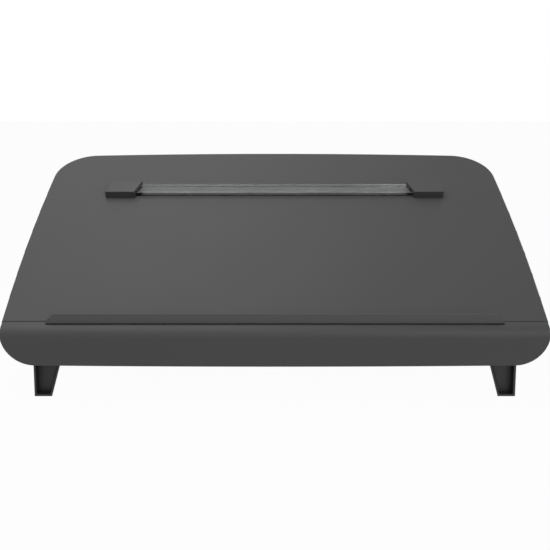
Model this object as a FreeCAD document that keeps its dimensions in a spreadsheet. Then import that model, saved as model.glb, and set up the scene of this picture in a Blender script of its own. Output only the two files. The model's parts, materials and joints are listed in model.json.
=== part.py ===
"""Document holder with a drawer: a sloped steel deck on four channel legs, with a page ledge, a sliding line
guide and a drawer that pulls out level under the deck. Millimetres, X to the right, Y to the back, Z up."""
import FreeCAD, Part
import math
import operator
import os
from FreeCAD import Placement, Rotation, Vector
from Part import ArcOfCircle, Circle, LineSegment
from Sketcher import Constraint

# Driving dimensions, lengths in millimetres and angles in degrees
SIZES = {
    # deck: a pressed sheet with a rim turned down along its sides and rear
    "slope_angle": 30,
    "seam_height": 76,
    "deck_width": 520,
    "deck_length": 286.4,
    "deck_wall": 1.5,
    "deck_widest": 129,
    "side_bow": 3.3,
    "rear_bow": 5.9,
    "rear_corner_radius": 46,
    "rim_depth": 9,
    "rim_bend_radius": 1.8,
    "stud_radius": 2,
    "stud_reach": 7.4,
    # page ledge: a bent strip whose foot lies under the deck and whose lip stands in front of it
    "ledge_side_set": 46,
    "ledge_height": 9,
    "ledge_wall": 1.8,
    "ledge_gap": 1,
    "ledge_foot": 24,
    "ledge_end_cut": 6.6,
    "ledge_corner_radius": 6.5,
    "ledge_bend_radius": 2.6,
    "ledge_stud_end": 25.7,
    "ledge_stud_set": 14,
    "ledge_leg_gap": 1.5,
    # drawer front: a hollow moulding rolled over at the top, undercut below
    "front_side_set": 4,
    "front_wall": 2.5,
    "front_flat": 5.4,
    "front_roll_radius": 11,
    "front_face": 29.1,
    "front_undercut": 10,
    "front_corner_radius": 29.8,
    "front_bottom_bow": 1.3,
    "front_edge_radius": 1.2,
    "seam_gap": 1.2,
    "ledge_front_gap": 1.7,
    "ledge_end_gap": 0.5,
    # legs: moulded channels, open to the front and to the rear of a web, and narrower towards the rear
    "leg_side_set": 30,
    "leg_top_width": 24.3,
    "leg_knee_width": 25.76,
    "leg_sole_width": 15.74,
    "leg_sole_flare": 0.9,
    "leg_taper_height": 33.5,
    "leg_depth": 24,
    "leg_rear_narrowing": 7.4,
    "leg_wall": 2,
    "leg_web": 2.5,
    "leg_recess": 8,
    "leg_sole": 2,
    "leg_cap": 3,
    "leg_boss_radius": 4.2,
    "leg_boss_length": 6,
    "front_leg_set": 2,
    "rear_leg_from_rear": 48.03,
    # rubber feet let into the soles
    "foot_thickness": 1.5,
    "foot_proud": 0.5,
    "foot_inset": 1.6,
    "foot_gap": 0.1,
    # drawer housing: folded sheet, open at the front and above
    "housing_drop": 6,
    "housing_height": 35,
    "housing_wall": 1.2,
    "housing_set": 0.5,
    "housing_overhang": 2,
    "housing_flange": 7,
    "housing_bend_radius": 2,
    "cover_margin": 1.5,
    "rivet_radius": 1.6,
    "rivet_head_radius": 3,
    "rivet_head": 0.9,
    "rivet_tail_radius": 2.3,
    "rivet_tail": 0.9,
    "rivet_end": 37.75,
    # runners: moulded channels staked to the housing's side walls
    "runner_depth": 6,
    "runner_height": 9.6,
    "runner_back": 1.6,
    "runner_arm": 1.8,
    "runner_drop": 1.5,
    "runner_set": 2,
    "runner_rear_gap": 8,
    "runner_lug": 3,
    "runner_slide_gap": 0.4,
    "peg_radius": 2,
    "peg_head_radius": 3.4,
    "peg_head": 1,
    "peg_end": 53,
    "peg_gap": 0.1,
    # drawer tray
    "tray_set": 2,
    "tray_rear_gap": 7,
    "tray_height": 29,
    "tray_wall": 2,
    "tray_floor": 2,
    "tray_lift": 0.8,
    "tray_side_gap": 0.5,
    "tray_corner_radius": 5,
    "tray_floor_radius": 2.5,
    "tray_flange": 4.3,
    "tray_flange_wall": 2.2,
    "tray_flange_gap": 0.1,
    "tray_rib_gap": 0.4,
    "pen_well": 62,
    "divider_wall": 1.6,
    "divider_drop": 8,
    "drawer_hold": 61,
    # line guide: a clear bar between two end caps, held to the deck by magnets
    "guide_rest": 194.35,
    "guide_side_set": 69.9,
    "cap_depth": 20.3,
    "cap_height": 8.9,
    "cap_lift": 0.3,
    "cap_front_width": 32.6,
    "cap_skew": 7.1,
    "cap_outer_skew": 4.3,
    "cap_rear_radius": 5,
    "cap_edge_radius": 0.8,
    "bar_set": 3.25,
    "bar_depth": 16.1,
    "bar_lift": 0.6,
    "bar_thickness": 4.6,
    "bar_bead_width": 4,
    "bar_bead_height": 0.6,
    "bar_edge_radius": 1.2,
    "bar_seat": 19.2,
    "bar_gap": 0.1,
    "magnet_radius": 5,
    "magnet_thickness": 3,
    "magnet_from_end": 9.8,
    "pad_thickness": 1,
    "pad_proud": 0.2,
    "pad_length": 15,
    "pad_margin": 2,
    # fasteners
    "nut_radius": 4.04,
    "nut_height": 3.2,
    "thread_gap": 0.05,
    "screw_radius": 2,
    "screw_head_radius": 3.6,
    "screw_head": 2,
    "screw_reach": 6,
    "screw_rise": 6.5,
    "screw_pitch": 12,
    "screw_end_gap": 0.1,
    "front_screw_radius": 1.5,
    "front_screw_head_radius": 2.9,
    "front_screw_head": 1.6,
    "front_screw_reach": 5.4,
    "front_screw_end": 18,
    "front_screw_rise": 15,
    "front_boss_radius": 4,
    "overrun": 20,
}
FAULTS = ("Invalid", "Error")
MATCH = 1e-4


class Size:
    """A size worked out from the sheet: its number now, and the expression that keeps it bound."""

    def __init__(self, value, text):
        self.value = float(value)
        self.text = text

    def _with(self, other, work, pattern):
        other = as_size(other)
        return Size(work(self.value, other.value), pattern.format(self.text, other.text))

    def __add__(self, other):
        return self._with(other, operator.add, "({} + {})")

    def __sub__(self, other):
        return self._with(other, operator.sub, "({} - {})")

    def __mul__(self, other):
        return self._with(other, operator.mul, "{} * {}")

    def __rmul__(self, other):
        return self * other

    def __truediv__(self, other):
        return self._with(other, operator.truediv, "{} / ({})")

    def __neg__(self):
        return Size(-self.value, f"(-1 * {self.text})")


def as_size(number):
    return number if isinstance(number, Size) else Size(number, str(number))


def sine(angle):
    return Size(math.sin(math.radians(angle.value)), f"sin({angle.text})")


def cosine(angle):
    return Size(math.cos(math.radians(angle.value)), f"cos({angle.text})")


ZERO = as_size(0)
QUARTER_TURN = as_size(90)

doc = FreeCAD.newDocument("document_holder")


def make_sheet():
    """The spreadsheet of driving dimensions, one alias for each."""
    sheet = doc.addObject("Spreadsheet::Sheet", "Sizes")
    for row, (alias, number) in enumerate(SIZES.items(), start=1):
        sheet.set(f"A{row}", alias)
        sheet.set(f"B{row}", str(number))
        sheet.setAlias(f"B{row}", alias)
    doc.recompute()
    return sheet


SHEET = make_sheet()


def size(alias):
    """A driving dimension as it stands in the sheet."""
    return Size(SHEET.get(alias), f"Sizes.{alias}")


def bind(item, name, amount):
    item.setExpression(name, amount.text)


def place(item, x, y, z, axis=None, angle=None):
    """Put an item at a bound place, turned by a bound angle about an axis."""
    turn = Rotation(axis, angle.value) if axis else Rotation()
    item.Placement = Placement(Vector(x.value, y.value, z.value), turn)
    for name, amount in (("x", x), ("y", y), ("z", z)):
        bind(item, f"Placement.Base.{name}", amount)
    if axis:
        bind(item, "Placement.Rotation.Angle", angle)


# Derived sizes. The seam frame has its origin at the middle of the deck's front top edge; the deck frame is
# the same, turned by the slope, so that its Y runs up the deck and its Z stands off it.
SLOPE = size("slope_angle")
SLOPE_SIN = sine(SLOPE)
SLOPE_COS = cosine(SLOPE)
RISE = SLOPE_SIN / SLOPE_COS
OVERRUN = size("overrun")
FLOOR = -size("seam_height")
X_AXIS = Vector(1, 0, 0)

FRONT_TOP = -(size("seam_gap") + size("front_flat"))
FRONT_ROLL_Y = FRONT_TOP * SLOPE_COS + size("front_roll_radius") * SLOPE_SIN
FRONT_ROLL_Z = FRONT_TOP * SLOPE_SIN - size("front_roll_radius") * SLOPE_COS
UNDERCUT_SIN = sine(size("front_undercut"))
UNDERCUT_COS = cosine(size("front_undercut"))
FACE_TOP_Y = FRONT_ROLL_Y - size("front_roll_radius") * UNDERCUT_COS
FACE_TOP_Z = FRONT_ROLL_Z - size("front_roll_radius") * UNDERCUT_SIN
FACE_BOTTOM_Y = FACE_TOP_Y + size("front_face") * UNDERCUT_SIN
FACE_BOTTOM_Z = FACE_TOP_Z - size("front_face") * UNDERCUT_COS
FRONT_BACK_Y = -(size("seam_gap") * SLOPE_COS)

FRONT_REACH = size("front_roll_radius") - FRONT_ROLL_Y
REAR_REACH = size("deck_length") * SLOPE_COS + size("rim_depth") * SLOPE_SIN
SEAM_Y = (FRONT_REACH - REAR_REACH) / 2


def in_seam_frame(item):
    place(item, ZERO, SEAM_Y, size("seam_height"))
    return item


def in_deck_frame(item):
    place(item, ZERO, SEAM_Y, size("seam_height"), X_AXIS, SLOPE)
    return item


def new_body(label):
    body = doc.addObject("PartDesign::Body", label)
    body.Label = label
    return body


def new_sketch(body, plane, offset=ZERO):
    """A sketch on one of the body's own origin planes, moved along that plane's normal by a bound offset."""
    sketch = body.newObject("Sketcher::SketchObject", f"{body.Label}_sketch")
    support = next(item for item in body.Origin.OriginFeatures if item.Role == f"{plane}_Plane")
    sketch.AttachmentSupport = (support, [""])
    sketch.MapMode = "FlatFace"
    sketch.AttachmentOffset = Placement(Vector(0, 0, offset.value), Rotation())
    bind(sketch, "AttachmentOffset.Base.z", offset)
    return sketch


def sloped_sketch(body):
    """A sketch in the deck's own plane, in a body that stands in the seam frame."""
    sketch = new_sketch(body, "XY")
    sketch.AttachmentOffset = Placement(Vector(0, 0, 0), Rotation(X_AXIS, SLOPE.value))
    bind(sketch, "AttachmentOffset.Rotation.Angle", SLOPE)
    return sketch


def fix_point(sketch, edge, end, x, y):
    """Hold an end of a sketch edge at a bound place."""
    for kind, amount in (("DistanceX", x), ("DistanceY", y)):
        number = sketch.addConstraint(Constraint(kind, -1, 1, edge, end, amount.value))
        bind(sketch, f"Constraints[{number}]", amount)


def arc_through(start, end, radius):
    """The arc of a radius from start to end that turns left, or right where the radius is negative."""
    chord = end - start
    middle = (start + end) * (1 / 2)
    left = Vector(-chord.y, chord.x, 0).normalize()
    reach = math.sqrt(max(radius * radius - chord.Length * chord.Length / 4, 0))
    centre = middle + left * math.copysign(reach, radius)
    circle = Circle(centre, Vector(0, 0, 1), abs(radius))
    first, last = (start, end) if radius > 0 else (end, start)
    return ArcOfCircle(circle, circle.parameter(first), circle.parameter(last))


def draw(sketch, corners):
    """A closed wire. A corner is (x, y), or (x, y, radius) where an arc of that radius runs on to the next
    corner: to the left for a positive radius, to the right for a negative one."""
    points = [Vector(corner[0].value, corner[1].value, 0) for corner in corners]
    edges = []
    for index, corner in enumerate(corners):
        start = points[index]
        end = points[(index + 1) % len(points)]
        bow = corner[2] if len(corner) > 2 else None
        shape = arc_through(start, end, bow.value) if bow else LineSegment(start, end)
        edge = sketch.addGeometry(shape, False)
        reverse = bool(bow) and bow.value < 0
        edges.append((edge, 2 if reverse else 1, 1 if reverse else 2))
        if bow:
            number = sketch.addConstraint(Constraint("Radius", edge, abs(bow.value)))
            bind(sketch, f"Constraints[{number}]", -bow if reverse else bow)
    for index, (edge, first, last) in enumerate(edges):
        following, following_first, _ = edges[(index + 1) % len(edges)]
        sketch.addConstraint(Constraint("Coincident", edge, last, following, following_first))
        fix_point(sketch, edge, first, corners[index][0], corners[index][1])
    return sketch


def draw_box(sketch, x_low, x_high, y_low, y_high):
    return draw(sketch, [(x_low, y_low), (x_high, y_low), (x_high, y_high), (x_low, y_high)])


def draw_circles(sketch, radius, centres):
    for x, y in centres:
        edge = sketch.addGeometry(Circle(Vector(x.value, y.value, 0), Vector(0, 0, 1), radius.value), False)
        number = sketch.addConstraint(Constraint("Radius", edge, radius.value))
        bind(sketch, f"Constraints[{number}]", radius)
        fix_point(sketch, edge, 3, x, y)
    return sketch


def pad(sketch, length, middle=False, back=False):
    """Pad a sketch: along its plane's normal, both ways from the middle, or against the normal."""
    body = sketch.getParentGeoFeatureGroup()
    feature = body.newObject("PartDesign::Pad", f"{body.Label}_pad")
    feature.Profile = sketch
    feature.Midplane = middle
    feature.Reversed = back
    bind(feature, "Length", length)
    doc.recompute()
    return feature


def pocket(sketch, length, middle=False, back=False):
    """Pocket a sketch: against its plane's normal, both ways from the middle, or along the normal. Stops the
    build if nothing was cut."""
    body = sketch.getParentGeoFeatureGroup()
    before = body.Tip.Shape.Volume
    feature = body.newObject("PartDesign::Pocket", f"{body.Label}_pocket")
    feature.Profile = sketch
    feature.Midplane = middle
    feature.Reversed = back
    bind(feature, "Length", length)
    doc.recompute()
    if not feature.Shape.Volume < before:
        raise RuntimeError(f"a pocket of {body.Label} cut nothing")
    return feature


def loft(kind, start, end):
    """A ruled form between two sketches of like corners, added to their body or taken from it."""
    body = start.getParentGeoFeatureGroup()
    feature = body.newObject(f"PartDesign::{kind}Loft", f"{body.Label}_loft")
    feature.Profile = start
    feature.Sections = [end]
    feature.Ruled = True
    doc.recompute()
    return feature


def edges_at(feature, **places):
    """The names of a feature's edges that lie wholly at the given x, y or z, in the body's own frame."""
    wanted = {axis: amount.value for axis, amount in places.items()}

    def lies_there(edge):
        points = [vertex.Point for vertex in edge.Vertexes] + [edge.CenterOfMass]
        return all(abs(getattr(point, axis) - level) < MATCH
                   for point in points for axis, level in wanted.items())

    return [f"Edge{number}" for number, edge in enumerate(feature.Shape.Edges, start=1) if lies_there(edge)]


def fillet(feature, names, radius):
    body = feature.getParentGeoFeatureGroup()
    rounding = body.newObject("PartDesign::Fillet", f"{body.Label}_fillet")
    rounding.Base = (feature, names)
    bind(rounding, "Radius", radius)
    doc.recompute()
    return rounding


def primitive(kind, **amounts):
    """A Part primitive with its sizes bound."""
    item = doc.addObject(f"Part::{kind}", kind)
    for name, amount in amounts.items():
        bind(item, name, amount)
    return item


def join(kind, label, *items):
    """A boolean of items: Cut takes the second from the first, MultiFuse joins them all."""
    result = doc.addObject(f"Part::{kind}", label)
    result.Label = label
    if kind == "Cut":
        result.Base, result.Tool = items
    else:
        result.Shapes = list(items)
    return result


def group(label, items):
    """Like fasteners as one node of separate solids."""
    result = doc.addObject("Part::Compound", label)
    result.Label = label
    result.Links = items
    return result


def mirrored(item, label):
    """The left-hand twin of a right-hand piece."""
    twin = doc.addObject("Part::Mirroring", label)
    twin.Label = label
    twin.Source = item
    twin.Normal = X_AXIS
    return twin


def sorted_pair(first, second):
    """Two places in rising order, as a box's corners need them."""
    return (first, second) if first.value < second.value else (second, first)


def steps(count, pitch):
    """Places in a row about zero, a pitch apart."""
    return [pitch * (index - (count - 1) / 2) for index in range(count)]


# Places that several pieces share
LEG_OUTER = size("deck_width") / 2 - size("leg_side_set")
LEG_INNER = LEG_OUTER - size("leg_top_width")
LEG_KNEE_INNER = LEG_OUTER - size("leg_knee_width")
LEG_SOLE_INNER = LEG_OUTER - size("leg_sole_width")
LEG_SOLE_Z = FLOOR + size("foot_proud")
LEG_BEND_Z = FLOOR + size("leg_taper_height")
LEG_REAR_RECESS = size("leg_recess") + size("leg_web")
LEG_MIDDLE_X = LEG_OUTER - size("leg_top_width") / 2
LEG_STUD_SET = LEG_REAR_RECESS + (size("leg_depth") - LEG_REAR_RECESS) / 2
REAR_LEG_SET = size("deck_length") * SLOPE_COS - size("rear_leg_from_rear")
LEG_SETS = {"front": size("front_leg_set"), "rear": REAR_LEG_SET}
LEDGE_HALF = size("deck_width") / 2 - size("ledge_side_set")
FRONT_HALF = size("deck_width") / 2 - size("front_side_set")
DECK_DROP = size("deck_wall") / SLOPE_COS
HOUSING_TOP = -size("housing_drop")
HOUSING_Z = HOUSING_TOP - size("housing_height")
HOUSING_REAR = REAR_LEG_SET + size("leg_depth") + size("housing_overhang")
HOUSING_MIDDLE = (HOUSING_REAR + size("housing_set")) / 2
HOUSING_INNER = LEG_INNER - size("housing_wall")
RUNNER_TOP = HOUSING_TOP - size("housing_wall") - size("runner_drop")
RUNNER_Z = RUNNER_TOP - size("runner_height")
RUNNER_FACE = HOUSING_INNER - size("runner_depth")
RUNNER_LENGTH = HOUSING_REAR - size("runner_rear_gap") - size("runner_set")
PEG_PLACES = [(size("runner_set") + RUNNER_LENGTH / 2 + step, RUNNER_Z + size("runner_height") / 2)
              for step in steps(3, RUNNER_LENGTH / 2 - size("peg_end"))]
SCREW_PLACES = {name: [(offset + LEG_STUD_SET, HOUSING_Z + size("screw_rise") + size("screw_pitch") * index)
                       for index in range(2)] for name, offset in LEG_SETS.items()}
TRAY_HALF = RUNNER_FACE - size("tray_side_gap")
TRAY_Z = HOUSING_Z + size("housing_wall") + size("tray_lift")
TRAY_TOP = TRAY_Z + size("tray_height")
TRAY_REAR = HOUSING_REAR - size("tray_rear_gap")
DRAWER_TRAVEL = TRAY_REAR + size("tray_set") - size("drawer_hold")
FLANGE_Z = RUNNER_Z + size("runner_arm") + size("tray_flange_gap")
FLANGE_TOP = FLANGE_Z + size("tray_flange_wall")
RIVET_HOLE = size("rivet_radius") + size("thread_gap")
RIVET_X = HOUSING_INNER - size("housing_flange") / 2
RIVET_PITCH = HOUSING_MIDDLE - size("housing_set") - size("rivet_end")
RIVET_PLACES = [(side * RIVET_X, HOUSING_MIDDLE + step) for side in (1, -1) for step in steps(3, RIVET_PITCH)]
FRONT_SCREW_PLACES = [(step, FACE_BOTTOM_Z + size("front_screw_rise"))
                      for step in steps(4, (TRAY_HALF - size("front_screw_end")) * 2 / 3)]


def stud_up_deck(y):
    """How far up the deck a stud stands whose nut is centred at a level distance y behind the seam."""
    reach = size("deck_wall") + size("leg_cap") + size("nut_height") / 2
    return (y - reach * SLOPE_SIN) / SLOPE_COS


LEG_STUDS = {name: stud_up_deck(offset + LEG_STUD_SET) for name, offset in LEG_SETS.items()}
LEDGE_STUDS = [(step, size("ledge_stud_set")) for step in steps(5, (LEG_INNER - size("ledge_stud_end")) / 2)]


def draw_deck_outline(sketch, inset, front):
    """The deck's outline, or one inset from it: bowed sides, a bowed rear and a round corner tangent to both.
    The front is a straight line at the given place."""
    half = size("deck_width") / 2
    widest = size("deck_widest")
    side_radius = (widest * widest / size("side_bow") + size("side_bow")) / 2 - inset
    side_x = half - inset - side_radius
    rear_radius = (half * half / size("rear_bow") + size("rear_bow")) / 2 - inset
    rear_y = size("deck_length") - inset - rear_radius
    corner_radius = size("rear_corner_radius") - inset
    side_centre = Vector(side_x.value, widest.value, 0)
    rear_centre = Vector(0, rear_y.value, 0)
    side_reach = side_radius.value - corner_radius.value
    rear_reach = rear_radius.value - corner_radius.value
    between = side_centre - rear_centre
    along = (rear_reach ** 2 - side_reach ** 2 + between.Length ** 2) / (2 * between.Length)
    across = math.sqrt(rear_reach ** 2 - along ** 2)
    unit = Vector(between).normalize()
    options = [rear_centre + unit * along + Vector(-unit.y, unit.x, 0) * across * way for way in (1, -1)]
    corner = max(options, key=lambda point: point.x)
    side_end = corner + (corner - side_centre).normalize() * corner_radius.value
    rear_start = corner + (corner - rear_centre).normalize() * corner_radius.value
    front_x = side_x.value + math.sqrt(side_radius.value ** 2 - (front.value - widest.value) ** 2)
    up = Vector(0, 0, 1)

    def add_arc(centre, radius, first, last):
        circle = Circle(centre, up, radius)
        arc = ArcOfCircle(circle, circle.parameter(first), circle.parameter(last))
        return sketch.addGeometry(arc, False)

    def over(point):
        return Vector(-point.x, point.y, 0)

    right_front = Vector(front_x, front.value, 0)
    right = add_arc(side_centre, side_radius.value, right_front, side_end)
    right_corner = add_arc(corner, corner_radius.value, side_end, rear_start)
    rear = add_arc(rear_centre, rear_radius.value, rear_start, over(rear_start))
    left_corner = add_arc(over(corner), corner_radius.value, over(rear_start), over(side_end))
    left = add_arc(over(side_centre), side_radius.value, over(side_end), over(right_front))
    line = sketch.addGeometry(LineSegment(over(right_front), right_front), False)
    joins = ((right, right_corner), (right_corner, rear), (rear, left_corner), (left_corner, left))
    for first, last in joins:
        sketch.addConstraint(Constraint("Tangent", first, 2, last, 1))
    for first, last in ((left, line), (line, right)):
        sketch.addConstraint(Constraint("Coincident", first, 2, last, 1))
    sketch.addConstraint(Constraint("Horizontal", line))
    for edge, amount in ((right, side_radius), (left, side_radius), (rear, rear_radius),
                         (right_corner, corner_radius), (left_corner, corner_radius)):
        number = sketch.addConstraint(Constraint("Radius", edge, amount.value))
        bind(sketch, f"Constraints[{number}]", amount)
    fix_point(sketch, right, 3, side_x, widest)
    fix_point(sketch, left, 3, -side_x, widest)
    fix_point(sketch, rear, 3, ZERO, rear_y)
    number = sketch.addConstraint(Constraint("DistanceY", -1, 1, line, 1, front.value))
    bind(sketch, f"Constraints[{number}]", front)
    return sketch


def make_deck():
    """The top plate: a slab with its underside hollowed to a sheet and a rim, its front cut upright, and the
    welded studs under it."""
    body = new_body("top_plate")
    rim = size("rim_depth")
    front = -(rim * RISE)
    slab = pad(draw_deck_outline(new_sketch(body, "XY"), ZERO, front), rim, back=True)
    top_edges = [name for name in edges_at(slab, z=ZERO) if name not in edges_at(slab, y=front)]
    fillet(slab, top_edges, size("rim_bend_radius"))
    wall = size("deck_wall")
    hollow = draw_deck_outline(new_sketch(body, "XY", -wall), wall, front - OVERRUN)
    pocket(hollow, rim)
    ahead = front - OVERRUN
    wedge = [(ZERO, ZERO), (front, -rim), (ahead, -rim), (ahead, OVERRUN), (ZERO, OVERRUN)]
    pocket(draw(new_sketch(body, "YZ"), wedge), size("deck_width"), middle=True)
    places = LEDGE_STUDS + [(side * LEG_MIDDLE_X, up) for up in LEG_STUDS.values() for side in (1, -1)]
    studs = draw_circles(new_sketch(body, "XY", -wall), size("stud_radius"), places)
    pad(studs, size("stud_reach"), back=True)
    return in_deck_frame(body)


def make_ledge():
    """The page ledge: a foot under the deck, bent up into an upright lip with slanted ends."""
    body = new_body("page_ledge")
    wall = size("ledge_wall")
    back = -size("ledge_gap")
    face = back - wall

    def foot_point(up, off):
        return up * SLOPE_COS - off * SLOPE_SIN, up * SLOPE_SIN + off * SLOPE_COS

    def under(y, off):
        """The level of a line parallel to the deck, off below it, at a distance y."""
        return y * RISE - off / SLOPE_COS

    top = face * RISE + size("ledge_height")
    upper = size("deck_wall")
    lower = upper + wall
    profile = [foot_point(size("ledge_foot"), -upper), (back, under(back, upper)), (back, top), (face, top),
               (face, under(face, lower)), foot_point(size("ledge_foot"), -lower)]
    half = LEDGE_HALF
    strip = pad(draw(new_sketch(body, "YZ"), profile), half * 2, middle=True)
    cut = size("ledge_end_cut")
    for side in (1, -1):
        slant = [(side * half, top - cut), (side * (half - cut), top), (side * (half - cut), top + OVERRUN),
                 (side * (half + OVERRUN), top + OVERRUN), (side * (half + OVERRUN), top - cut)]
        strip = pocket(draw(new_sketch(body, "XZ"), slant), OVERRUN, middle=True)
    corners = [name for side in (1, -1) for name in edges_at(strip, x=side * (half - cut), z=top)]
    rounded = fillet(strip, corners, size("ledge_corner_radius"))
    rounded = fillet(rounded, edges_at(rounded, y=face, z=under(face, lower)), size("ledge_bend_radius"))
    shoulder = LEG_INNER - size("ledge_leg_gap")
    for side in (1, -1):
        ends = sorted_pair(side * shoulder, side * (half + OVERRUN))
        room = draw_box(new_sketch(body, "XY", OVERRUN), *ends, back, size("ledge_foot") + OVERRUN)
        pocket(room, OVERRUN + OVERRUN)
    pocket(draw_circles(sloped_sketch(body), size("stud_radius") + size("thread_gap"), LEDGE_STUDS), OVERRUN)
    return in_seam_frame(body)


def make_nut(x, up, drop):
    """A hex nut run up a stud, its upper face at a drop below the deck's top, in the deck frame."""
    blank = primitive("Prism", Circumradius=size("nut_radius"), Height=size("nut_height"))
    bore = primitive("Cylinder", Radius=size("stud_radius") + size("thread_gap"), Height=size("nut_height"))
    nut = join("Cut", "nut", blank, bore)
    place(nut, x, up, -(drop + size("nut_height")))
    return nut


def make_ledge_nuts():
    drop = size("deck_wall") + size("ledge_wall")
    return in_deck_frame(group("ledge_nuts", [make_nut(x, up, drop) for x, up in LEDGE_STUDS]))


def make_leg_nuts():
    drop = size("deck_wall") + size("leg_cap")
    nuts = [make_nut(side * LEG_MIDDLE_X, up, drop) for up in LEG_STUDS.values() for side in (1, -1)]
    return in_deck_frame(group("leg_nuts", nuts))


def leg_taper(z, knee, sole):
    """How far out a side of the leg's tapered part lies at a level, from where it lies at knee and floor."""
    return knee + (sole - knee) * (LEG_BEND_Z - z) / (LEG_BEND_Z - FLOOR)


def make_leg(name, offset):
    """A right-hand leg: a channel with a sole, recessed before and behind its web, a sloped cap under the
    deck and two bosses for the housing's screws. Below the housing it tapers downwards and to the rear."""
    body = new_body(f"right_{name}_leg")
    wall = size("leg_wall")
    depth = size("leg_depth")
    rear = offset + depth
    over = rear * RISE + OVERRUN

    def upper(plane_y, inset, low):
        return draw_box(new_sketch(body, "XZ", -plane_y), LEG_INNER + inset, LEG_OUTER - inset, low, over)

    def lower(plane_y, inset, low, high):
        """The tapered part's section at a distance back."""
        shift = inset + size("leg_rear_narrowing") * (plane_y - offset) / depth

        def outer(z):
            return leg_taper(z, LEG_OUTER, LEG_OUTER + size("leg_sole_flare")) - inset

        def inner(z):
            return leg_taper(z, LEG_KNEE_INNER, LEG_SOLE_INNER) + shift

        corners = [(outer(low), low), (outer(high), high), (inner(high), high), (inner(low), low)]
        return draw(new_sketch(body, "XZ", -plane_y), corners)

    def strip(upper, lower):
        """Corners of a strip that follows the slope between two depths below the deck's top."""
        return [(offset, offset * RISE - lower), (rear, rear * RISE - lower),
                (rear, rear * RISE - upper), (offset, offset * RISE - upper)]

    pad(upper(offset, ZERO, LEG_BEND_Z), depth, back=True)
    loft("Additive", *(lower(end, ZERO, LEG_SOLE_Z, LEG_BEND_Z) for end in (offset, rear)))
    sole = LEG_SOLE_Z + size("leg_sole")
    shelf = LEG_BEND_Z - wall
    for start, end in ((offset, offset + size("leg_recess")), (offset + LEG_REAR_RECESS, rear)):
        pocket(upper(start, wall, shelf), end - start)
        loft("Subtractive", *(lower(plane_y, wall, sole, shelf) for plane_y in (start, end)))
    cap = draw(new_sketch(body, "YZ", LEG_INNER), strip(DECK_DROP, DECK_DROP + size("leg_cap") / SLOPE_COS))
    pad(cap, size("leg_top_width"))
    above = [(offset, offset * RISE - DECK_DROP), (rear, rear * RISE - DECK_DROP), (rear, over + OVERRUN),
             (offset, over + OVERRUN)]
    pocket(draw(new_sketch(body, "YZ", LEG_OUTER), above), size("leg_top_width"))
    bosses = new_sketch(body, "YZ", LEG_INNER)
    pad(draw_circles(bosses, size("leg_boss_radius"), SCREW_PLACES[name]), wall + size("leg_boss_length"))
    bores = new_sketch(body, "YZ", LEG_INNER)
    pocket(draw_circles(bores, size("screw_radius") + size("thread_gap"), SCREW_PLACES[name]),
           size("screw_reach"), back=True)
    stud_hole = draw_circles(sloped_sketch(body), size("stud_radius") + size("thread_gap"),
                             [(LEG_MIDDLE_X, LEG_STUDS[name])])
    pocket(stud_hole, OVERRUN)
    seat = draw(new_sketch(body, "XY", LEG_SOLE_Z), foot_corners(offset, size("foot_gap")))
    pocket(seat, size("foot_thickness") - size("foot_proud"), back=True)
    return in_seam_frame(body)


def foot_corners(offset, margin):
    """A foot's outline inside its leg's sole, grown by a margin."""
    inset = size("foot_inset") - margin
    right = LEG_OUTER - inset

    def left(set_back):
        return LEG_SOLE_INNER + size("leg_rear_narrowing") * set_back / size("leg_depth") + inset

    near = offset + inset
    reach = size("leg_depth") - inset
    far = offset + reach
    return [(left(inset), near), (right, near), (right, far), (left(reach), far)]


def make_foot(name, offset):
    body = new_body(f"right_{name}_foot")
    pad(draw(new_sketch(body, "XY", FLOOR), foot_corners(offset, ZERO)), size("foot_thickness"))
    return in_seam_frame(body)


def make_housing():
    """The drawer housing: a folded sheet with a floor, a rear wall and side walls turned in at the top."""
    body = new_body("drawer_housing")
    wall = size("housing_wall")
    front = size("housing_set")
    length = HOUSING_REAR - front
    outline = draw_box(new_sketch(body, "XZ", -front), -LEG_INNER, LEG_INNER, HOUSING_Z, HOUSING_TOP)
    block = pad(outline, length, back=True)
    bends = [name for side in (LEG_INNER, -LEG_INNER) for name in edges_at(block, x=side, z=HOUSING_Z)]
    fillet(block, bends, size("housing_bend_radius"))
    inside = draw_box(new_sketch(body, "XZ", -front), -HOUSING_INNER, HOUSING_INNER, HOUSING_Z + wall,
                      HOUSING_TOP - wall)
    pocket(inside, length - wall)
    mouth = HOUSING_INNER - size("housing_flange")
    opening = draw_box(new_sketch(body, "XY", HOUSING_TOP), -mouth, mouth, front - OVERRUN,
                       HOUSING_REAR - wall)
    pocket(opening, OVERRUN)
    rivets = new_sketch(body, "XY", HOUSING_TOP)
    pocket(draw_circles(rivets, RIVET_HOLE, RIVET_PLACES), wall)
    screws = SCREW_PLACES["front"] + SCREW_PLACES["rear"]
    for places, radius in ((screws, size("screw_radius") + size("thread_gap")),
                           (PEG_PLACES, size("peg_radius") + size("peg_gap"))):
        pocket(draw_circles(new_sketch(body, "YZ"), radius, places), size("deck_width"), middle=True)
    return in_seam_frame(body)


def make_cover():
    """The sheet that closes the housing above the drawer."""
    body = new_body("housing_cover")
    half = LEG_INNER - size("cover_margin")
    front = size("housing_set")
    rear = HOUSING_REAR - size("cover_margin")
    block = pad(draw_box(new_sketch(body, "XY", HOUSING_TOP), -half, half, front, rear), size("housing_wall"))
    corners = [name for x in (half, -half) for y in (front, rear) for name in edges_at(block, x=x, y=y)]
    fillet(block, corners, size("housing_bend_radius"))
    holes = new_sketch(body, "XY", HOUSING_TOP)
    pocket(draw_circles(holes, RIVET_HOLE, RIVET_PLACES), size("housing_wall"), back=True)
    return in_seam_frame(body)


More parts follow.
